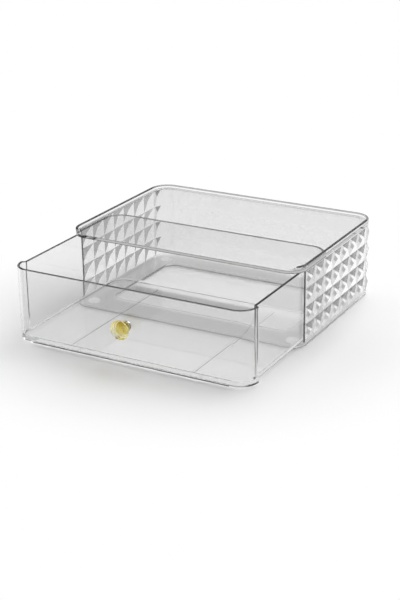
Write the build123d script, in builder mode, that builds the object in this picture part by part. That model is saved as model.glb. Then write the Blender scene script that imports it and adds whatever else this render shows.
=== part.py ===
from build123d import *
from math import atan, cos, degrees, radians, sin
import os

# A clear stacking organizer: an open-fronted housing with studded walls, a lipped top panel and
# bumper feet, and one clear drawer that slides in it and carries a faceted crystal knob.
# Millimetres, +Z up, the drawer opens towards -Y. The origin is under the middle of the whole
# object with its drawer drawn out, on the surface that the feet stand on.
#
# Two local frames are used. The housing's has y = 0 at its front edge and z = 0 at its bottom
# edge. The drawer's has y = 0 at its front face and the same z. The knob is measured by its
# reach: the distance in front of the drawer's front face.

# Housing
WIDTH = 250.0
DEPTH = 176.5
HEIGHT = 80.2
FRONT_RADIUS = 18.0
BACK_RADIUS = 19.0
FLOOR_THICKNESS = 2.0
PANEL_THICKNESS = 3.2
LIP_HEIGHT = 3.2
LIP_WIDTH = 2.4
LIP_ROUNDING = 0.7
LIP_RAMP = (3.6, 9.0)
BAND_HEIGHT = 7.4
WALL_START = 17.0
WALL_THICKNESS = 1.8
CAVITY_RADIUS = 20.0
CUTOUT_HALF_WIDTH = 98.0
CUTOUT_START = 30.0
CUTOUT_END = 146.5
CUTOUT_RADIUS = 12.0

# Diamond studs on the housing's walls
STUD_HEIGHT = 2.4
PEAK_SHARE = 0.61
BAND_STEP = 1.35
STUD_ROWS = 4
SIDE_STUDS = 7
CORNER_STUDS = 2
BACK_STUDS = 10

# Feet
FOOT_DIAMETER = 12.0
FOOT_HEIGHT = 1.5
FOOT_CHAMFER = 0.5
FOOT_X = 109.0
FOOT_FRONT = 17.0
FOOT_BACK = 159.0

# Drawer, and how far it stands open
DRAWER_LENGTH = 174.4
DRAWER_HALF_WIDTH = 124.5
DRAWER_FRONT_RADIUS = 17.0
DRAWER_BACK_RADIUS = 18.4
DRAWER_WALL = 2.4
DRAWER_RIM = 73.2
DRAWER_UNDERSIDE = 2.8
DRAWER_CHAMFER = 0.8
DRAWER_INNER_ROUNDING = 2.0
RIM_CHAMFER = 0.4
JOGGLE_START = 17.7
JOGGLE_END = 19.5
JOGGLE_DEPTH = 3.2
JOGGLE_ROUNDING = 1.0
SKIRT_BOTTOM = 1.1
SKIRT_HALF_WIDTH = 104.0
SKIRT_SLOPE = 3.5
RIB_X = 65.2
RIB_WIDTH = 2.4
RIB_BOTTOM = 2.1
RIB_BACK_GAP = 12.0
CLOSED_GAP = 3.0
OPEN_BY = 94.0

# Knob, its metal base, and the screw that holds it
KNOB_REACH = 15.0
KNOB_LEVEL = 37.3
BASE_REACH = 4.4
BASE_RADIUS = 4.6
FLANGE_RADIUS = 5.2
FLANGE_THICKNESS = 1.0
NECK_RADIUS = 3.6
NECK_STEP = 0.8
CUP_RADIUS = 3.5
CUP_DEPTH = 0.8
SPIGOT_RADIUS = 3.4
GIRDLE_RADIUS = 9.3
GIRDLE_REACH = 10.0
GIRDLE_THICKNESS = 0.9
TABLE_RADIUS = 5.0
STAR_TILT = 57.0
CROWN_TILT = 48.0
CROWN_GIRDLE_TILT = 32.0
PAVILION_TILT = 39.0
PAVILION_GIRDLE_TILT = 24.0
FACETS_ROUND = 8
SCREW_RADIUS = 1.95
SCREW_END = 3.2
SCREW_HEAD_RADIUS = 4.0
SCREW_HEAD_HEIGHT = 2.6
SCREW_HEAD_CHAMFER = 0.9
RECESS_LENGTH = 4.4
RECESS_WIDTH = 1.0
RECESS_DEPTH = 1.3
TAPPED_RADIUS = 2.0
CLEARANCE_RADIUS = 2.2
WASHER_RADIUS = 4.8
WASHER_THICKNESS = 0.8

# Levels and places that follow from the sizes above
PANEL_TOP = HEIGHT - LIP_HEIGHT
PANEL_UNDERSIDE = PANEL_TOP - PANEL_THICKNESS
STUDS_TOP = HEIGHT - BAND_HEIGHT
ROW_PITCH = (STUDS_TOP - FLOOR_THICKNESS) / STUD_ROWS
PEAK_RISE = ROW_PITCH * PEAK_SHARE
PEAK_FALL = ROW_PITCH - PEAK_RISE
VALLEY_X = WIDTH / 2 - BAND_STEP
VALLEY_BACK = DEPTH - BAND_STEP
VALLEY_RADIUS = BACK_RADIUS - BAND_STEP
CAVITY_X = VALLEY_X - WALL_THICKNESS
CAVITY_BACK = VALLEY_BACK - WALL_THICKNESS
DRAWER_FRONT = -(OPEN_BY + CLOSED_GAP)
FRONT_OF_ALL = DRAWER_FRONT - KNOB_REACH
BACK_OF_ALL = VALLEY_BACK + STUD_HEIGHT
HOUSING_Y = -(FRONT_OF_ALL + BACK_OF_ALL) / 2
DRAWER_Y = HOUSING_Y + DRAWER_FRONT


def level(z):
    """Return the horizontal plane of the housing's frame at height z."""
    return Plane(origin=(0, HOUSING_Y, FOOT_HEIGHT + z))


def drawer_level(z):
    """Return the horizontal plane of the drawer's frame at height z."""
    return Plane(origin=(0, DRAWER_Y, FOOT_HEIGHT + z))


def knob_plane(reach):
    """Return the plane across the knob's axis at the given reach, facing forwards."""
    origin = (0, DRAWER_Y - reach, FOOT_HEIGHT + KNOB_LEVEL)
    return Plane(origin=origin, x_dir=(1, 0, 0), z_dir=(0, -1, 0))


def knob_section():
    """Return the plane along the knob's axis: local x is the reach, local y the radius."""
    origin = (0, DRAWER_Y, FOOT_HEIGHT + KNOB_LEVEL)
    return Plane(origin=origin, x_dir=(0, -1, 0), z_dir=(-1, 0, 0))


KNOB_AXIS = Axis((0, DRAWER_Y, FOOT_HEIGHT + KNOB_LEVEL), (0, -1, 0))


def mirrored_line(half):
    """Return a line's points from the right side, followed by their mirror image on the left."""
    return half + [Vector(-point.X, point.Y) for point in reversed(half)]


def corner_point(turn, radius):
    """Return a point round the stud line's right back corner, turned from +X by turn degrees."""
    centre = Vector(VALLEY_X - VALLEY_RADIUS, VALLEY_BACK - VALLEY_RADIUS)
    return centre + Vector(radius, 0).rotate(Axis.Z, turn)


def stud_points(rise, share):
    """Return one point for each stud, from the right wall's front to the middle of the back.

    It lies the given share of the way along its stud, and rise outside the stud line.
    """
    bend_start = corner_point(0, VALLEY_RADIUS)
    bend_end = corner_point(90, VALLEY_RADIUS)
    side_pitch = (bend_start.Y - WALL_START) / SIDE_STUDS
    back_pitch = 2 * bend_end.X / BACK_STUDS
    side = [Vector(VALLEY_X + rise, WALL_START + side_pitch * (i + share)) for i in range(SIDE_STUDS)]
    bend = [corner_point(90 * (i + share) / CORNER_STUDS, VALLEY_RADIUS + rise)
            for i in range(CORNER_STUDS)]
    back = [Vector(bend_end.X - back_pitch * (i + share), VALLEY_BACK + rise)
            for i in range(BACK_STUDS // 2)]
    return side + bend + back


def stud_zigzag():
    """Return the studded walls' outline in plan: valleys at the stud line, peaks between them."""
    half = []
    for valley, peak in zip(stud_points(0, 0), stud_points(STUD_HEIGHT, 0.5)):
        half += [valley, peak]
    outline = mirrored_line(half)
    outline.insert(len(half), Vector(0, VALLEY_BACK))
    return outline


def peak_outline():
    """Return the outline of a row of studs, before the zigzag cuts it, at its peaks' level."""
    turns = [0] + [90 * (i + 0.5) / CORNER_STUDS for i in range(CORNER_STUDS)] + [90]
    half = [Vector(VALLEY_X + STUD_HEIGHT, WALL_START)]
    for turn, next_turn in zip(turns, turns[1:]):
        reach = (VALLEY_RADIUS + STUD_HEIGHT) / cos(radians((next_turn - turn) / 2))
        half.append(corner_point((turn + next_turn) / 2, reach))
    return mirrored_line(half)


def rounded_plan(half_width, front, back, front_radius, back_radius):
    """Add a plan with rounded corners, from front to back, to the open sketch."""
    with Locations((0, (front + back) / 2)):
        Rectangle(2 * half_width, back - front)
    if front_radius > 0:
        fillet(vertices().group_by(Axis.Y)[0], front_radius)
    fillet(vertices().group_by(Axis.Y)[-1], back_radius)


# Housing: one moulding. Each row of studs is a slice whose sides lean out to the level of its
# peaks and back; the zigzag outline then cuts every row into pyramids at once, round the
# corners too.
with BuildPart() as housing:
    peak_levels = [FLOOR_THICKNESS + ROW_PITCH * row + PEAK_RISE for row in range(STUD_ROWS)]
    for slice_height in (PEAK_FALL, -PEAK_RISE):
        with BuildSketch(*[level(peak) for peak in peak_levels]):
            with BuildLine():
                Polyline(peak_outline(), close=True)
            make_face()
        slice_taper = degrees(atan(STUD_HEIGHT / abs(slice_height)))
        extrude(amount=slice_height, taper=slice_taper)
    with BuildSketch(level(0)):
        with BuildLine():
            Polyline(stud_zigzag(), close=True)
        make_face()
    extrude(amount=HEIGHT, mode=Mode.INTERSECT)

    # The floor plate below the studs, and the smooth band, panel and lip above them
    with BuildSketch(level(0)):
        rounded_plan(WIDTH / 2, 0, DEPTH, FRONT_RADIUS, BACK_RADIUS)
    extrude(amount=FLOOR_THICKNESS)
    with BuildSketch(level(STUDS_TOP)):
        rounded_plan(WIDTH / 2, 0, DEPTH, FRONT_RADIUS, BACK_RADIUS)
    extrude(amount=BAND_HEIGHT)

    # The tray on top, inside the lip
    with BuildSketch(level(PANEL_TOP)):
        rounded_plan(WIDTH / 2, 0, DEPTH, FRONT_RADIUS, BACK_RADIUS)
        offset(amount=-LIP_WIDTH, mode=Mode.REPLACE)
    extrude(amount=LIP_HEIGHT, mode=Mode.SUBTRACT)
    fillet(edges().group_by(Axis.Z)[-1], LIP_ROUNDING)

    # The cavity for the drawer, open at the front, where the walls stop short of the panel
    with BuildSketch(level(FLOOR_THICKNESS)):
        rounded_plan(CAVITY_X, 0, CAVITY_BACK, 0, CAVITY_RADIUS)
        with Locations((0, WALL_START / 2)):
            Rectangle(WIDTH, WALL_START)
    extrude(amount=PANEL_UNDERSIDE - FLOOR_THICKNESS, mode=Mode.SUBTRACT)

    # The lip's front ends ramp down to the panel, which is bare along its front edge
    with BuildSketch(Plane(origin=(0, HOUSING_Y, FOOT_HEIGHT), x_dir=(0, 1, 0), z_dir=(1, 0, 0))):
        with BuildLine():
            ramp_foot, ramp_head = LIP_RAMP
            Polyline((0, PANEL_TOP), (ramp_foot, PANEL_TOP), (ramp_head, HEIGHT), (0, HEIGHT), close=True)
        make_face()
    extrude(amount=WIDTH / 2, both=True, mode=Mode.SUBTRACT)

    # The opening in the floor
    with BuildSketch(level(0)):
        rounded_plan(CUTOUT_HALF_WIDTH, CUTOUT_START, CUTOUT_END, CUTOUT_RADIUS, CUTOUT_RADIUS)
    extrude(amount=FLOOR_THICKNESS, mode=Mode.SUBTRACT)

housing.part.label = "housing"
export_step(housing.part, "parts/housing.step")

# Feet: clear bumpers stuck under the floor's corners
feet = [("front_left", -FOOT_X, FOOT_FRONT), ("front_right", FOOT_X, FOOT_FRONT),
        ("back_left", -FOOT_X, FOOT_BACK), ("back_right", FOOT_X, FOOT_BACK)]
for corner, foot_x, foot_y in feet:
    with BuildPart() as foot:
        with BuildSketch(level(-FOOT_HEIGHT)):
            with Locations((foot_x, foot_y)):
                Circle(FOOT_DIAMETER / 2)
        extrude(amount=FOOT_HEIGHT)
        chamfer(edges().group_by(Axis.Z)[0], FOOT_CHAMFER)

    foot.part.label = "foot_" + corner
    export_step(foot.part, f"parts/foot_{corner}.step")

# Drawer: one moulding. Its front part is as wide as the housing; behind it the walls step in
# to pass between the housing's walls.
inset_x = DRAWER_HALF_WIDTH - JOGGLE_DEPTH
drawer_right = [Vector(DRAWER_HALF_WIDTH, 0), Vector(DRAWER_HALF_WIDTH, JOGGLE_START),
                Vector(inset_x, JOGGLE_END), Vector(inset_x, DRAWER_LENGTH)]
right_radii = [DRAWER_FRONT_RADIUS, JOGGLE_ROUNDING, JOGGLE_ROUNDING, DRAWER_BACK_RADIUS]
drawer_corners = mirrored_line(drawer_right)
drawer_radii = right_radii + right_radii[::-1]

with BuildPart() as drawer:
    with BuildSketch(drawer_level(DRAWER_UNDERSIDE)):
        with BuildLine():
            FilletPolyline(drawer_corners, radius=drawer_radii, close=True)
        make_face()
    extrude(amount=DRAWER_RIM - DRAWER_UNDERSIDE)
    chamfer(edges().group_by(Axis.Z)[0], DRAWER_CHAMFER)

    # The inside, with a rounded foot to the walls
    with BuildSketch(drawer_level(DRAWER_UNDERSIDE + DRAWER_WALL)):
        with BuildLine():
            FilletPolyline(drawer_corners, radius=drawer_radii, close=True)
        make_face()
        offset(amount=-DRAWER_WALL, mode=Mode.REPLACE)
    extrude(amount=DRAWER_RIM - DRAWER_UNDERSIDE - DRAWER_WALL, mode=Mode.SUBTRACT)
    inner_foot = faces().filter_by(Axis.Z).group_by(Axis.Z)[1].edges()
    fillet(inner_foot, DRAWER_INNER_ROUNDING)
    chamfer(edges().group_by(Axis.Z)[-1], RIM_CHAMFER)

    # Two runners slide on the housing's floor, and a rim as low as they are goes round the front
    # corners
    with BuildSketch(drawer_level(RIB_BOTTOM)):
        with BuildLine():
            FilletPolyline(drawer_corners, radius=drawer_radii, close=True)
        make_face()
        offset(amount=-DRAWER_WALL, mode=Mode.SUBTRACT)
        with Locations((0, JOGGLE_START / 2)):
            Rectangle(2 * DRAWER_HALF_WIDTH, JOGGLE_START, mode=Mode.INTERSECT)
        with Locations((-RIB_X, 0), (RIB_X, 0)):
            Rectangle(RIB_WIDTH, DRAWER_LENGTH - RIB_BACK_GAP, align=(Align.CENTER, Align.MIN))
    extrude(amount=DRAWER_UNDERSIDE + DRAWER_WALL / 2 - RIB_BOTTOM)

    # The skirt that hangs in front of the housing's floor, with sloping ends
    skirt_head = DRAWER_UNDERSIDE + DRAWER_WALL / 2
    skirt_right = [Vector(SKIRT_HALF_WIDTH, SKIRT_BOTTOM), Vector(SKIRT_HALF_WIDTH + SKIRT_SLOPE, skirt_head)]
    with BuildSketch(Plane(origin=(0, DRAWER_Y, FOOT_HEIGHT), x_dir=(1, 0, 0), z_dir=(0, -1, 0))):
        with BuildLine():
            Polyline(mirrored_line(skirt_right), close=True)
        make_face()
    extrude(amount=-DRAWER_WALL)

    # The hole for the knob's screw
    with BuildSketch(knob_plane(0)):
        Circle(CLEARANCE_RADIUS)
    extrude(amount=-DRAWER_WALL, mode=Mode.SUBTRACT)

drawer.part.label = "drawer"
export_step(drawer.part, "parts/drawer.step")


def facet_plane(turn, tilt, reach, radius):
    """Return the plane of one facet, turned round the knob's axis.

    It passes at the given radius and reach and leans from straight sideways by tilt degrees,
    forwards where tilt is positive.
    """
    across = Vector(cos(radians(turn)), 0, sin(radians(turn)))
    forward = Vector(0, -1, 0)
    origin = Vector(0, DRAWER_Y, FOOT_HEIGHT + KNOB_LEVEL) + forward * reach + across * radius
    return Plane(origin=origin, z_dir=across * cos(radians(tilt)) + forward * sin(radians(tilt)))


# Crystal: a round blank whose facets are cut one by one, as a stone is cut. The main facets
# and the girdle facets start at the girdle's edges, and the star facets at the table's.
girdle_back = GIRDLE_REACH - GIRDLE_THICKNESS
half_turn = 180 / FACETS_ROUND
girdle_flat = GIRDLE_RADIUS * cos(radians(half_turn / 2))
facet_rings = [
    (0, CROWN_TILT, GIRDLE_REACH, GIRDLE_RADIUS),
    (half_turn, STAR_TILT, KNOB_REACH, TABLE_RADIUS),
    (half_turn / 2, CROWN_GIRDLE_TILT, GIRDLE_REACH, girdle_flat),
    (-half_turn / 2, CROWN_GIRDLE_TILT, GIRDLE_REACH, girdle_flat),
    (0, -PAVILION_TILT, girdle_back, GIRDLE_RADIUS),
    (half_turn / 2, -PAVILION_GIRDLE_TILT, girdle_back, girdle_flat),
    (-half_turn / 2, -PAVILION_GIRDLE_TILT, girdle_back, girdle_flat),
]
with BuildPart() as knob_crystal:
    with BuildSketch(knob_plane(BASE_REACH)):
        RegularPolygon(GIRDLE_RADIUS, 2 * FACETS_ROUND)
    extrude(amount=KNOB_REACH - BASE_REACH)
    for first_turn, tilt, reach, radius in facet_rings:
        for facet in range(FACETS_ROUND):
            turn = first_turn + 360 * facet / FACETS_ROUND
            split(bisect_by=facet_plane(turn, tilt, reach, radius), keep=Keep.BOTTOM)

    # The spigot that is glued in the metal base
    with BuildSketch(knob_plane(BASE_REACH - CUP_DEPTH)):
        Circle(SPIGOT_RADIUS)
    extrude(amount=CUP_DEPTH)

knob_crystal.part.label = "knob_crystal"
export_step(knob_crystal.part, "parts/knob_crystal.step")

# Metal base: a turned ferrule with a flange on the drawer, a waist and a cup for the crystal
with BuildPart() as knob_ferrule:
    cup_floor = BASE_REACH - CUP_DEPTH
    with BuildSketch(knob_section()):
        with BuildLine():
            Polyline((0, TAPPED_RADIUS), (0, FLANGE_RADIUS), (FLANGE_THICKNESS, FLANGE_RADIUS),
                     (FLANGE_THICKNESS + NECK_STEP, NECK_RADIUS), (cup_floor - NECK_STEP, NECK_RADIUS),
                     (cup_floor, BASE_RADIUS), (BASE_REACH, BASE_RADIUS), (BASE_REACH, CUP_RADIUS),
                     (cup_floor, CUP_RADIUS), (cup_floor, TAPPED_RADIUS), close=True)
        make_face()
    revolve(axis=KNOB_AXIS)

knob_ferrule.part.label = "knob_ferrule"
export_step(knob_ferrule.part, "parts/knob_ferrule.step")

# Washer and pan-head screw inside the drawer
with BuildPart() as screw_washer:
    with BuildSketch(knob_plane(-DRAWER_WALL)):
        Circle(WASHER_RADIUS)
        Circle(CLEARANCE_RADIUS, mode=Mode.SUBTRACT)
    extrude(amount=-WASHER_THICKNESS)

screw_washer.part.label = "screw_washer"
export_step(screw_washer.part, "parts/screw_washer.step")

with BuildPart() as knob_screw:
    head_seat = -DRAWER_WALL - WASHER_THICKNESS
    head_top = head_seat - SCREW_HEAD_HEIGHT
    with BuildSketch(knob_plane(head_seat)):
        Circle(SCREW_HEAD_RADIUS)
    extrude(amount=-SCREW_HEAD_HEIGHT)
    chamfer(edges().group_by(Axis.Y)[-1], SCREW_HEAD_CHAMFER)
    with BuildSketch(knob_plane(head_seat)):
        Circle(SCREW_RADIUS)
    extrude(amount=SCREW_END - head_seat)

    # The cross recess in the head
    with BuildSketch(knob_plane(head_top)):
        Rectangle(RECESS_LENGTH, RECESS_WIDTH)
        Rectangle(RECESS_WIDTH, RECESS_LENGTH)
    extrude(amount=RECESS_DEPTH, mode=Mode.SUBTRACT)

knob_screw.part.label = "knob_screw"
export_step(knob_screw.part, "parts/knob_screw.step")
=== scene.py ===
"""Studio scene of a clear stacking organizer with one drawer and a crystal knob."""

import math

import bpy
from mathutils import Matrix, Vector


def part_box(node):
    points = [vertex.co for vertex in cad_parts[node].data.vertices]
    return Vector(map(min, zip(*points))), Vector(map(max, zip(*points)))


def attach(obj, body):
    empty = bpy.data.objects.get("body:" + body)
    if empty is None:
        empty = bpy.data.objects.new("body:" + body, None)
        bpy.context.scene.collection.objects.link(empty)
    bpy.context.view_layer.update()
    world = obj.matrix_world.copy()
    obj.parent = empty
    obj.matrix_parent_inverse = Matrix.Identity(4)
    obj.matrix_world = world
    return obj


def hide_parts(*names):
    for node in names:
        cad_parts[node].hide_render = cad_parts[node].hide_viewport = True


bl_info = {
    "name": "Clear Drawer Organizer",
    "version": (1, 0, 0),
    "blender": (4, 5, 0),
    "location": "View3D > Sidebar > Organizer",
    "description": "Dresses the organizer's mouldings, feet and knob, and sets its studio stage",
    "category": "Object",
}

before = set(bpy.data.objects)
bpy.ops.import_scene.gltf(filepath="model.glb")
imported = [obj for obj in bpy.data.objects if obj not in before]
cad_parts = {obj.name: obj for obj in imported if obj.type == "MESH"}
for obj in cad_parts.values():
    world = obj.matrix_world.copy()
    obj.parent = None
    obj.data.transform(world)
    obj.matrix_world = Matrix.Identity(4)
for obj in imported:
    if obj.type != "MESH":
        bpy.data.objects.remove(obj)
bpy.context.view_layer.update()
MM = 0.001

# The photograph's frame and its camera, measured from the housing's front bottom edge
PHOTO_SIZE = (400, 600)
SENSOR_WIDTH_MM = 36.0
FOCAL_PX = 1325.35
CAMERA_AZIMUTH = math.radians(29.51)
CAMERA_ELEVATION = math.radians(21.85)
CAMERA_ROLL = math.radians(-0.92)
CAMERA_PLACE = Vector((594.45, -1011.2, 498.2)) * MM

# The ends of the housing's side walls. In the CAD model they lean back between the rows of studs
HOUSING_PIECE = "housing_moulding"
WALL_START = 17.0 * MM
END_LEAN = 2.4 * MM
STUD_VALLEY = 123.65 * MM
END_BULGE = 0.6 * MM
STUDS_BOTTOM = 3.5 * MM
STUDS_TOP = 74.3 * MM
NEAR = 0.01 * MM

# Every table below runs from its first value to its last in the order of the first numbers.
# Heights are in millimetres above the floor, up to this one
TOP = 82.0

# A light path that is still inside the plastic after this many bounces is given a glow, bright
# along the floors and in the studded walls, and dim in the drawer's smooth walls and in the lip
CAUGHT_AFTER = 5.5
DRAWER_GLOW = ((0.0, "#7c7c7c"), (3.0, "#7c7c7c"), (4.2, "#eeeeee"), (12.0, "#eeeeee"),
               (17.0, "#464646"), (TOP, "#464646"))
HOUSING_GLOW = ((0.0, "#c4c4c4"), (4.5, "#c4c4c4"), (6.0, "#e4e4e4"), (78.4, "#e4e4e4"),
                (78.8, "#404040"), (TOP, "#404040"))
# The left wall keeps less of it, by how far a place lies to the side. This is fitted to the look
# in the photograph's view and has no cause in the object
GLOW_SHARE = ((-123.0, "#a0a0a0"), (-120.0, "#ffffff"))
FOOT_GLOW = ((0.0, "#e6e6e8"), (TOP, "#e6e6e8"))
# The crystal glows with painted light once light has bounced inside it, pale cream low down and a
# darker olive gold towards the top, a painted shade
CRYSTAL_CAUGHT_AFTER = 1.5
CRYSTAL_GLOW = ((30.0, "#f5f1dc"), (38.0, "#efe7b0"), (41.0, "#cdb856"), (46.0, "#8a7426"))

# Clear materials: index of refraction, tint per metre, depth and length of the faint waves in the
# surface, and what is left of the light that has passed through. The mouldings' tint and waves are
# settings
MOULDING_IOR = 1.49
MOULDING_SHADE = "#d5d5d5"
RUBBER_IOR = 1.48
RUBBER_DENSITY = 20.0
RUBBER_WAVES = (0.004 * MM, 6 * MM)
RUBBER_SHADE = "#f0f0f0"
CRYSTAL_IOR = 1.5
CRYSTAL_DENSITY = 45.0
CRYSTAL_WAVES = (0.001 * MM, 4 * MM)
CRYSTAL_SHADE = "#efe8b0"

# Metals: roughness, its spread, and the marks of turning
FERRULE_ROUGHNESS = 0.6
STEEL_ROUGHNESS = 0.3
SHEEN_SPREAD = (0.8, 1.3)
TURNING_SCALE = 900.0
TURNING_DETAIL = 3.0
TURNING_STRENGTH = 0.3
TURNING_DEPTH = 0.02 * MM

# Edges are painted darker than a flat wall, a painted shade, because there the eye looks along the
# whole wall. The first tables are for the front and the sides, and the rims' for the faces that
# look up or down
DRAWER_FRONT_EDGE_SHADE = ((2.6, "#404040"), (2.9, "#404040"), (3.0, "#f4f4f4"), (3.6, "#cccccc"),
                (4.0, "#cccccc"), (4.1, "#f4f4f4"), (73.9, "#f4f4f4"), (74.2, "#595959"))
DRAWER_SIDE_EDGE_SHADE = ((5.4, "#595959"), (5.7, "#f4f4f4"), (73.9, "#f4f4f4"), (74.2, "#595959"))
DRAWER_RIM_EDGE_SHADE = ((2.9, "#5c5c5c"), (3.2, "#ffffff"), (73.9, "#ffffff"), (74.2, "#595959"))
HOUSING_WALL_EDGE_SHADE = ((2.0, "#404040"), (2.3, "#ffffff"), (75.4, "#ffffff"), (75.45, "#404040"),
                 (75.9, "#404040"), (76.1, "#ffffff"), (77.8, "#ffffff"), (78.0, "#6c6c6c"),
                 (78.35, "#6c6c6c"), (78.4, "#ffffff"), (80.3, "#ffffff"), (80.7, "#191919"))
HOUSING_RIM_EDGE_SHADE = ((80.3, "#ffffff"), (80.7, "#191919"))
# The front ends of the side walls get painted shade as edges as well, by how far they lie behind
# the middle, but not the studs that stand out from the walls, by how far they lie to the side
FRONT_END_SHADE = ((-25.0, "#ffffff"), (-22.0, "#222222"), (-8.0, "#222222"), (-5.0, "#ffffff"))
WALL_ENDS = ((115.0, "#000000"), (117.0, "#ffffff"), (123.5, "#ffffff"), (123.8, "#000000"))
# The painted shade of the housing's rim stays paler at the back, by how far it lies behind the
# middle
BACK_RIM_SHADE_LIFT = ((122.0, "#000000"), (142.0, "#9a9a9a"))
# Stud facets that look up get painted shade, as they turn the eye down into the wall, on the sides
# and not at the back
UP_FACET_SHADE = ((0.0, "#ffffff"), (0.12, "#ffffff"), (0.2, "#262626"), (0.5, "#262626"), (0.6, "#ffffff"))
# How far a normal turns from one side to the other, for faces that look aside, ahead, or up or
# down.
# These choose where each table of painted shade goes
LOOKS_ASIDE = ((-0.8, "#ffffff"), (-0.6, "#000000"), (0.6, "#000000"), (0.8, "#ffffff"))
LOOKS_AHEAD = ((-0.95, "#ffffff"), (-0.8, "#000000"))
LOOKS_UP_OR_DOWN = ((-0.95, "#ffffff"), (-0.9, "#000000"), (0.9, "#000000"), (0.95, "#ffffff"))
FACET_SIDES = ((-0.8, "#ffffff"), (-0.6, "#000000"), (0.6, "#000000"), (0.8, "#f2f2f2"))

# Studio
FLOOR_SIZE = 8.0
FLOOR_NEAR = 0.14
FLOOR_FAR = 0.28
LAMPS = (
    # name, place, size, watts
    ("overhead_softbox", (0.25, 0.9, 1.5), 1.4, 23.5),
    ("right_softbox", (1.3, 0.5, 0.7), 0.9, 4.0),
    ("left_softbox", (-1.3, 0.3, 0.7), 0.9, 4.0),
)
LAMP_TARGET = Vector((0, 0, 0.04))
# The studio is dimmer on the camera's side than behind the object, and white along its horizon
WORLD_DIM = 0.25
WORLD_BRIGHT = 0.42
WORLD_TURN = (-0.6, 0.5)
HORIZON = (0.02, 0.1)

# A Mix node's sockets for its factor and its two colours, and for the colour that it gives
MIX_COLOUR_INPUTS = (0, 6, 7)
MIX_COLOUR_OUTPUT = 2


def linear(hex_colour, alpha=1.0):
    """Return a linear RGBA colour from an sRGB hex value such as '#8a8c90'."""
    values = [int(hex_colour[i:i + 2], 16) / 255 for i in (1, 3, 5)]
    return (*(v / 12.92 if v <= 0.04045 else ((v + 0.055) / 1.055) ** 2.4 for v in values), alpha)


def add_node(tree, kind, links=None, **settings):
    """Add a node; settings are its properties or its inputs' values, links are input: socket."""
    node = tree.nodes.new(kind)
    for name, value in settings.items():
        if hasattr(node, name):
            setattr(node, name, value)
        else:
            node.inputs[name.replace("_", " ")].default_value = value
    for name, socket in (links or {}).items():
        tree.links.new(socket, node.inputs[name])
    return node


def follow(tree, value, table):
    """Return the colour that a table gives at a value."""
    low, high = table[0][0], table[-1][0]
    share = add_node(tree, "ShaderNodeMapRange", {"Value": value}, From_Min=low, From_Max=high)
    ramp = add_node(tree, "ShaderNodeValToRGB", {"Fac": share.outputs["Result"]})
    stops = ramp.color_ramp.elements
    stops[0].color, stops[1].color = linear(table[0][1]), linear(table[-1][1])
    for place, colour in table[1:-1]:
        stops.new((place - low) / (high - low)).color = linear(colour)
    return ramp.outputs["Color"]


def blend_colour(tree, blend, factor, first, second):
    """Return the mix of two colours, each a socket, with a factor that is a socket or a number."""
    mix = add_node(tree, "ShaderNodeMix", data_type="RGBA", blend_type=blend)
    for place, value in zip(MIX_COLOUR_INPUTS, (factor, first, second)):
        if isinstance(value, bpy.types.NodeSocket):
            tree.links.new(value, mix.inputs[place])
        else:
            mix.inputs[place].default_value = value
    return mix.outputs[MIX_COLOUR_OUTPUT]


def new_material(name):
    """Return an empty node material, its tree and its output node."""
    material = bpy.data.materials.new(name)
    material.use_nodes = True
    tree = material.node_tree
    tree.nodes.clear()
    return material, tree, tree.nodes.new("ShaderNodeOutputMaterial")


def dress(piece, material):
    """Put a material on a piece or a CAD node."""
    piece.data.materials.clear()
    piece.data.materials.append(material)


def make_clear_plastic(name, tint, density, ior, waves, shade, glow, caught_after=CAUGHT_AFTER):
    """Clear moulded plastic: polished, with the faint waves of a moulded wall, depth and length,
    and a painted glow where light stays caught inside.
    """
    material, tree, output = new_material(name)
    place = add_node(tree, "ShaderNodeTexCoord")
    swell = add_node(tree, "ShaderNodeTexNoise", {"Vector": place.outputs["Object"]},
                     Scale=1 / waves[1], Detail=1.0)
    bump = add_node(tree, "ShaderNodeBump", {"Height": swell.outputs["Fac"]},
                    Strength=1.0, Distance=waves[0])
    plastic = add_node(tree, "ShaderNodeBsdfPrincipled", {"Normal": bump.outputs["Normal"]},
                       Base_Color=linear("#ffffff"), Roughness=0.0, IOR=ior,
                       Transmission_Weight=1.0)
    depth = add_node(tree, "ShaderNodeVolumeAbsorption", Color=(*tint, 1), Density=density)
    path = add_node(tree, "ShaderNodeLightPath")
    caught = add_node(tree, "ShaderNodeMath", {0: path.outputs["Ray Depth"]},
                      operation="GREATER_THAN")
    caught.inputs[1].default_value = caught_after
    in_mm = add_node(tree, "ShaderNodeVectorMath", {0: place.outputs["Object"]}, operation="SCALE",
                     Scale=1 / MM)
    parts = add_node(tree, "ShaderNodeSeparateXYZ", {"Vector": in_mm.outputs["Vector"]})
    # Painted glow: an emission, by height and by side, for light still caught inside after many
    # bounces
    painted_glow = blend_colour(tree, "MULTIPLY", 1.0, follow(tree, parts.outputs["Z"], glow),
                           follow(tree, parts.outputs["X"], GLOW_SHARE))
    emission = add_node(tree, "ShaderNodeEmission", {"Color": painted_glow}, Strength=1.0)
    lit = add_node(tree, "ShaderNodeMixShader", {0: caught.outputs["Value"],
                   1: plastic.outputs["BSDF"], 2: emission.outputs["Emission"]})
    clear = add_node(tree, "ShaderNodeBsdfTransparent", Color=linear(shade))
    mix = add_node(tree, "ShaderNodeMixShader", {0: path.outputs["Is Shadow Ray"],
                   1: lit.outputs["Shader"], 2: clear.outputs["BSDF"]})
    tree.links.new(mix.outputs["Shader"], output.inputs["Surface"])
    tree.links.new(depth.outputs["Volume"], output.inputs["Volume"])
    return material, tree, plastic, parts


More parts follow.
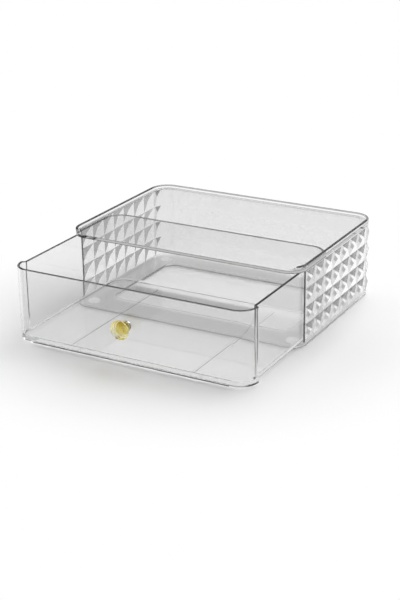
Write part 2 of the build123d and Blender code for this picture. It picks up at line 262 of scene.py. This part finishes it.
def paint_edge_shade(tree, plastic, parts, front, sides, rim, studded):
    """Paint shade on a moulding's edges, and on studded walls on their ends and the facets that
    look up.
    """
    # A normal is turned towards the eye where a face is seen from inside the plastic, and is turned
    # back here, so that it always points out
    surface = add_node(tree, "ShaderNodeNewGeometry")
    turn = add_node(tree, "ShaderNodeMapRange", {"Value": surface.outputs["Backfacing"]},
                    To_Min=1.0, To_Max=-1.0)
    outward = add_node(tree, "ShaderNodeVectorMath", {0: surface.outputs["True Normal"],
                       "Scale": turn.outputs["Result"]}, operation="SCALE")
    normal = add_node(tree, "ShaderNodeSeparateXYZ", {"Vector": outward.outputs["Vector"]})
    seen = add_node(tree, "ShaderNodeSeparateXYZ", {"Vector": surface.outputs["True Normal"]})
    white = linear("#ffffff")
    aside = follow(tree, normal.outputs["X"], LOOKS_ASIDE)
    level = follow(tree, normal.outputs["Z"], LOOKS_UP_OR_DOWN)
    painted_shade = blend_colour(tree, "MIX", aside, follow(tree, parts.outputs["Z"], front),
                        follow(tree, parts.outputs["Z"], sides))
    painted_shade = blend_colour(tree, "MIX", level, painted_shade, follow(tree, parts.outputs["Z"], rim))
    if studded:
        # The rim's painted shade is lifted towards the back
        painted_shade = blend_colour(tree, "LIGHTEN", 1.0, painted_shade, follow(tree, parts.outputs["Y"], BACK_RIM_SHADE_LIFT))
        # The ends' painted shade counts only where they are seen from outside, and doesn't show
        # through the studs
        ahead = follow(tree, seen.outputs["Y"], LOOKS_AHEAD)
        off_middle = add_node(tree, "ShaderNodeMath", {0: parts.outputs["X"]}, operation="ABSOLUTE")
        ahead = blend_colour(tree, "MULTIPLY", 1.0, ahead,
                             follow(tree, off_middle.outputs["Value"], WALL_ENDS))
        end_shade = blend_colour(tree, "MIX", ahead, white, follow(tree, parts.outputs["Y"], FRONT_END_SHADE))
        painted_shade = blend_colour(tree, "MULTIPLY", 1.0, painted_shade, end_shade)
        # Painted shade on the stud facets that look up
        side = follow(tree, normal.outputs["X"], FACET_SIDES)
        facet_shade = blend_colour(tree, "MIX", side, white, follow(tree, normal.outputs["Z"], UP_FACET_SHADE))
        painted_shade = blend_colour(tree, "MULTIPLY", 1.0, painted_shade, facet_shade)
    # The painted shade darkens the base colour, so that less light passes through there
    tree.links.new(painted_shade, plastic.inputs["Base Color"])


def make_metal(name, colour, roughness):
    """Turned metal with the fine uneven sheen of a lathe-cut surface."""
    material, tree, output = new_material(name)
    place = add_node(tree, "ShaderNodeTexCoord")
    turning = add_node(tree, "ShaderNodeTexNoise", {"Vector": place.outputs["Object"]},
                       Scale=TURNING_SCALE, Detail=TURNING_DETAIL)
    sheen = add_node(tree, "ShaderNodeMapRange", {"Value": turning.outputs["Fac"]},
                     To_Min=roughness * SHEEN_SPREAD[0], To_Max=roughness * SHEEN_SPREAD[1])
    bump = add_node(tree, "ShaderNodeBump", {"Height": turning.outputs["Fac"]},
                    Strength=TURNING_STRENGTH, Distance=TURNING_DEPTH)
    metal = add_node(tree, "ShaderNodeBsdfPrincipled",
                     {"Roughness": sheen.outputs["Result"], "Normal": bump.outputs["Normal"]},
                     Base_Color=(*colour, 1), Metallic=1.0)
    tree.links.new(metal.outputs["BSDF"], output.inputs["Surface"])
    return material


def colour_setting(name, description, default):
    """Return a colour setting with an sRGB hex default."""
    return bpy.props.FloatVectorProperty(name=name, description=description, subtype="COLOR",
                                         min=0.0, max=1.0, default=linear(default)[:3])


class OrganizerPlasticSettings(bpy.types.PropertyGroup):
    """The clear plastic of the housing, the drawer and the feet."""
    tint: colour_setting("Tint", "What the plastic leaves of white light over a long way",
                         "#aaaaaa")
    density: bpy.props.FloatProperty(
        name="Density", description="How fast the tint grows on the way, per metre",
        default=5.0, min=0.0)
    wave_depth: bpy.props.FloatProperty(
        name="Wave depth", description="Depth of the faint waves in a moulded wall",
        default=0.003 * MM, min=0.0, precision=6, unit="LENGTH")
    wave_length: bpy.props.FloatProperty(
        name="Wave length", description="Length of the faint waves in a moulded wall",
        default=40 * MM, min=MM, unit="LENGTH")
    foot_tint: colour_setting("Foot tint", "What a bumper foot leaves of white light", "#c5c5c5")


class OrganizerKnobSettings(bpy.types.PropertyGroup):
    """The knob's crystal and metal."""
    crystal_tint: colour_setting("Crystal tint", "Colour of the cut acrylic", "#efe85a")
    ferrule_colour: colour_setting("Ferrule colour", "Colour of the gilt ferrule", "#d8cf9c")
    steel_colour: colour_setting("Steel colour", "Colour of the zinc-plated screw and washer",
                                 "#c9cacd")


class OrganizerStageSettings(bpy.types.PropertyGroup):
    """The floor and the lamps."""
    floor_colour: colour_setting("Floor colour", "Paint of the studio floor", "#f2f2f2")
    floor_near: bpy.props.FloatProperty(
        name="Floor's fade begins",
        description="Distance from the middle at which the floor begins to fade",
        default=FLOOR_NEAR, min=0.0, unit="LENGTH")
    floor_far: bpy.props.FloatProperty(
        name="Floor's fade ends",
        description="Distance from the middle at which the floor is pure white",
        default=FLOOR_FAR, min=0.0, unit="LENGTH")
    lamp_share: bpy.props.FloatProperty(
        name="Lamp power", description="Share of the lamps' usual power", default=1.0, min=0.0,
        subtype="FACTOR")


class ORGANIZER_OT_housing(bpy.types.Operator):
    """Copy the housing and square off the front ends of its side walls"""
    bl_idname = "organizer.housing"
    bl_label = "Housing"

    def execute(self, context):
        housing = bpy.data.objects.new(HOUSING_PIECE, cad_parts["housing"].data.copy())
        context.scene.collection.objects.link(housing)
        bpy.ops.object.select_all(action="DESELECT")
        housing.select_set(True)
        context.view_layer.objects.active = housing
        context.tool_settings.mesh_select_mode = (True, False, False)
        bpy.ops.object.mode_set(mode="EDIT")
        bpy.ops.mesh.select_all(action="SELECT")
        bpy.ops.mesh.remove_doubles(threshold=NEAR / 10)
        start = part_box("housing")[0].y + WALL_START
        for side in (1, -1):
            self.flatten(housing, start, lambda place: place.x * side > STUD_VALLEY,
                         (0, 1, 1), (side * STUD_VALLEY, 0, 0))
        self.flatten(housing, start, lambda place: True, (1, 0, 1), (0, start, 0))
        bpy.ops.mesh.select_all(action="SELECT")
        bpy.ops.mesh.remove_doubles(threshold=NEAR / 10)
        bpy.ops.mesh.dissolve_degenerate(threshold=NEAR / 10)
        bpy.ops.object.mode_set(mode="OBJECT")
        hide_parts("housing")
        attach(housing, "housing")
        return {"FINISHED"}

    def flatten(self, housing, start, chosen, scale, centre):
        """Scale the wall ends' vertices that are chosen by their place flat to a plane."""
        bpy.ops.mesh.select_all(action="DESELECT")
        bpy.ops.object.mode_set(mode="OBJECT")
        for vertex in housing.data.vertices:
            place = vertex.co
            vertex.select = (start + NEAR < place.y < start + END_LEAN + NEAR
                             and abs(place.x) < STUD_VALLEY + END_BULGE
                             and STUDS_BOTTOM - NEAR < place.z < STUDS_TOP + NEAR and chosen(place))
        bpy.ops.object.mode_set(mode="EDIT")
        bpy.ops.transform.resize(value=scale, center_override=centre)


class ORGANIZER_OT_mouldings(bpy.types.Operator):
    """Give the housing and the drawer their clear plastic, with a painted glow and painted edge
    shade
    """
    bl_idname = "organizer.mouldings"
    bl_label = "Clear mouldings"

    def execute(self, context):
        settings = context.scene.organizer_plastic
        waves = (settings.wave_depth, settings.wave_length)
        for name, piece, glow, front, sides, rim, studded in (
                ("housing", bpy.data.objects[HOUSING_PIECE], HOUSING_GLOW, HOUSING_WALL_EDGE_SHADE,
                 HOUSING_WALL_EDGE_SHADE, HOUSING_RIM_EDGE_SHADE, True),
                ("drawer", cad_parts["drawer"], DRAWER_GLOW, DRAWER_FRONT_EDGE_SHADE,
                 DRAWER_SIDE_EDGE_SHADE, DRAWER_RIM_EDGE_SHADE, False)):
            material, tree, plastic, parts = make_clear_plastic(
                "injection_moulded_clear_plastic_" + name, settings.tint, settings.density,
                MOULDING_IOR, waves, MOULDING_SHADE, glow)
            paint_edge_shade(tree, plastic, parts, front, sides, rim, studded)
            dress(piece, material)
        return {"FINISHED"}


class ORGANIZER_OT_feet(bpy.types.Operator):
    """Give the bumper feet their clear rubber, with a painted glow inside"""
    bl_idname = "organizer.feet"
    bl_label = "Bumper feet"

    def execute(self, context):
        settings = context.scene.organizer_plastic
        rubber = make_clear_plastic("cast_polyurethane_bumper", settings.foot_tint, RUBBER_DENSITY,
                                    RUBBER_IOR, RUBBER_WAVES, RUBBER_SHADE, FOOT_GLOW)[0]
        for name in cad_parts:
            if name.startswith("foot_"):
                dress(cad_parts[name], rubber)
        return {"FINISHED"}


class ORGANIZER_OT_knob(bpy.types.Operator):
    """Give the crystal its acrylic with a painted glow, and the ferrule, the screw and the washer
    their finishes
    """
    bl_idname = "organizer.knob"
    bl_label = "Crystal knob"

    def execute(self, context):
        settings = context.scene.organizer_knob
        crystal = make_clear_plastic("cut_yellow_acrylic", settings.crystal_tint, CRYSTAL_DENSITY,
                                     CRYSTAL_IOR, CRYSTAL_WAVES, CRYSTAL_SHADE, CRYSTAL_GLOW,
                                     CRYSTAL_CAUGHT_AFTER)[0]
        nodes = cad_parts
        dress(nodes["knob_crystal"], crystal)
        dress(nodes["knob_ferrule"],
              make_metal("gilt_turned_brass", settings.ferrule_colour, FERRULE_ROUGHNESS))
        steel = make_metal("zinc_plated_steel", settings.steel_colour, STEEL_ROUGHNESS)
        dress(nodes["knob_screw"], steel)
        dress(nodes["screw_washer"], steel)
        return {"FINISHED"}


class ORGANIZER_OT_stage(bpy.types.Operator):
    """Lay the studio floor and set the lamps, the studio around them and the photograph's camera"""
    bl_idname = "organizer.stage"
    bl_label = "Studio stage"

    def execute(self, context):
        settings = context.scene.organizer_stage
        self.lay_floor(context, settings)
        self.set_lamps(context.scene, settings)
        self.set_world(context.scene)
        self.set_camera(context.scene)
        return {"FINISHED"}

    def lay_floor(self, context, settings):
        """Lay the painted floor, which fades to pure white away from the object."""
        bpy.ops.object.select_all(action="DESELECT")
        bpy.ops.mesh.primitive_plane_add(size=FLOOR_SIZE, location=(0, 0, 0))
        floor = context.object
        floor.name = "studio_floor"
        material, tree, output = new_material("matt_painted_floor")
        place = add_node(tree, "ShaderNodeTexCoord")
        reach = add_node(tree, "ShaderNodeVectorMath", {0: place.outputs["Object"]},
                         operation="LENGTH")
        fade = add_node(tree, "ShaderNodeMapRange", {"Value": reach.outputs["Value"]},
                        interpolation_type="SMOOTHSTEP", From_Min=settings.floor_near,
                        From_Max=settings.floor_far)
        paint = add_node(tree, "ShaderNodeBsdfDiffuse", Color=(*settings.floor_colour, 1))
        glow = add_node(tree, "ShaderNodeEmission", Color=linear("#ffffff"), Strength=1.0)
        both = add_node(tree, "ShaderNodeMixShader", {0: fade.outputs["Result"],
                        1: paint.outputs["BSDF"], 2: glow.outputs["Emission"]})
        tree.links.new(both.outputs["Shader"], output.inputs["Surface"])
        floor.data.materials.append(material)

    def set_lamps(self, scene, settings):
        """Hang the soft lamps."""
        for name, place, size, watts in LAMPS:
            lamp_data = bpy.data.lights.new(name, "AREA")
            lamp_data.shape = "SQUARE"
            lamp_data.size = size
            lamp_data.energy = watts * settings.lamp_share
            lamp = bpy.data.objects.new(name, lamp_data)
            scene.collection.objects.link(lamp)
            lamp.location = place
            lamp.rotation_euler = (Vector(place) - LAMP_TARGET).to_track_quat("Z", "Y").to_euler()

    def set_world(self, scene):
        """Set the studio around the object."""
        world = bpy.data.worlds.new("studio_world")
        scene.world = world
        world.use_nodes = True
        tree = world.node_tree
        tree.nodes.clear()
        output = tree.nodes.new("ShaderNodeOutputWorld")
        place = add_node(tree, "ShaderNodeTexCoord")
        ahead = add_node(tree, "ShaderNodeVectorMath", {0: place.outputs["Generated"]},
                         operation="DOT_PRODUCT")
        ahead.inputs[1].default_value = (-math.sin(CAMERA_AZIMUTH), math.cos(CAMERA_AZIMUTH), 0)
        shade = add_node(tree, "ShaderNodeMapRange", {"Value": ahead.outputs["Value"]},
                         interpolation_type="SMOOTHSTEP", From_Min=WORLD_TURN[0],
                         From_Max=WORLD_TURN[1], To_Min=WORLD_DIM, To_Max=WORLD_BRIGHT)
        parts = add_node(tree, "ShaderNodeSeparateXYZ", {"Vector": place.outputs["Generated"]})
        above = add_node(tree, "ShaderNodeMapRange",
                         {"Value": parts.outputs["Z"], "To Max": shade.outputs["Result"]},
                         From_Min=HORIZON[0], From_Max=HORIZON[1], To_Min=1.0)
        path = add_node(tree, "ShaderNodeLightPath")
        strength = add_node(tree, "ShaderNodeMath",
                            {0: above.outputs["Result"], 1: path.outputs["Is Camera Ray"]},
                            operation="MAXIMUM")
        sky = add_node(tree, "ShaderNodeBackground", {"Strength": strength.outputs["Value"]},
                       Color=linear("#ffffff"))
        tree.links.new(sky.outputs["Background"], output.inputs["Surface"])

    def set_camera(self, scene):
        """Set the photograph's camera and the plain view transform."""
        camera_data = bpy.data.cameras.new("photo_camera")
        camera = bpy.data.objects.new("photo_camera", camera_data)
        scene.collection.objects.link(camera)
        camera_data.sensor_width = SENSOR_WIDTH_MM
        camera_data.lens = FOCAL_PX / max(PHOTO_SIZE) * SENSOR_WIDTH_MM
        back = Vector((math.sin(CAMERA_AZIMUTH) * math.cos(CAMERA_ELEVATION),
                       -math.cos(CAMERA_AZIMUTH) * math.cos(CAMERA_ELEVATION),
                       math.sin(CAMERA_ELEVATION)))
        right = Vector((math.cos(CAMERA_AZIMUTH), math.sin(CAMERA_AZIMUTH), 0))
        up = back.cross(right)
        turned_right = math.cos(CAMERA_ROLL) * right + math.sin(CAMERA_ROLL) * up
        turned_up = -math.sin(CAMERA_ROLL) * right + math.cos(CAMERA_ROLL) * up
        rotation = Matrix((turned_right, turned_up, back)).transposed()
        low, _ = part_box("housing")
        place = CAMERA_PLACE + Vector((0, low.y, low.z))
        camera.matrix_world = Matrix.Translation(place) @ rotation.to_4x4()
        scene.camera = camera
        scene.view_settings.view_transform = "Standard"


class ORGANIZER_PT_panel(bpy.types.Panel):
    """Lists the organizer's operators"""
    bl_idname = "ORGANIZER_PT_panel"
    bl_label = "Clear organizer"
    bl_space_type = "VIEW_3D"
    bl_region_type = "UI"
    bl_category = "Organizer"

    def draw(self, context):
        for step in STEPS:
            self.layout.operator(step.bl_idname)


STEPS = (ORGANIZER_OT_housing, ORGANIZER_OT_mouldings, ORGANIZER_OT_feet, ORGANIZER_OT_knob,
         ORGANIZER_OT_stage)
SETTINGS = {"organizer_plastic": OrganizerPlasticSettings, "organizer_knob": OrganizerKnobSettings,
            "organizer_stage": OrganizerStageSettings}


def register():
    """Register the classes and the scene's settings."""
    for item in (*SETTINGS.values(), *STEPS, ORGANIZER_PT_panel):
        bpy.utils.register_class(item)
    for name, group in SETTINGS.items():
        setattr(bpy.types.Scene, name, bpy.props.PointerProperty(type=group))


def unregister():
    """Take the classes and the settings away again."""
    for name in SETTINGS:
        delattr(bpy.types.Scene, name)
    for item in (ORGANIZER_PT_panel, *STEPS, *SETTINGS.values()):
        bpy.utils.unregister_class(item)


def main():
    """Make everything in order."""
    register()
    bpy.ops.organizer.housing()
    bpy.ops.organizer.mouldings()
    bpy.ops.organizer.feet()
    bpy.ops.organizer.knob()
    bpy.ops.organizer.stage()


if __name__ == "__main__":
    main()
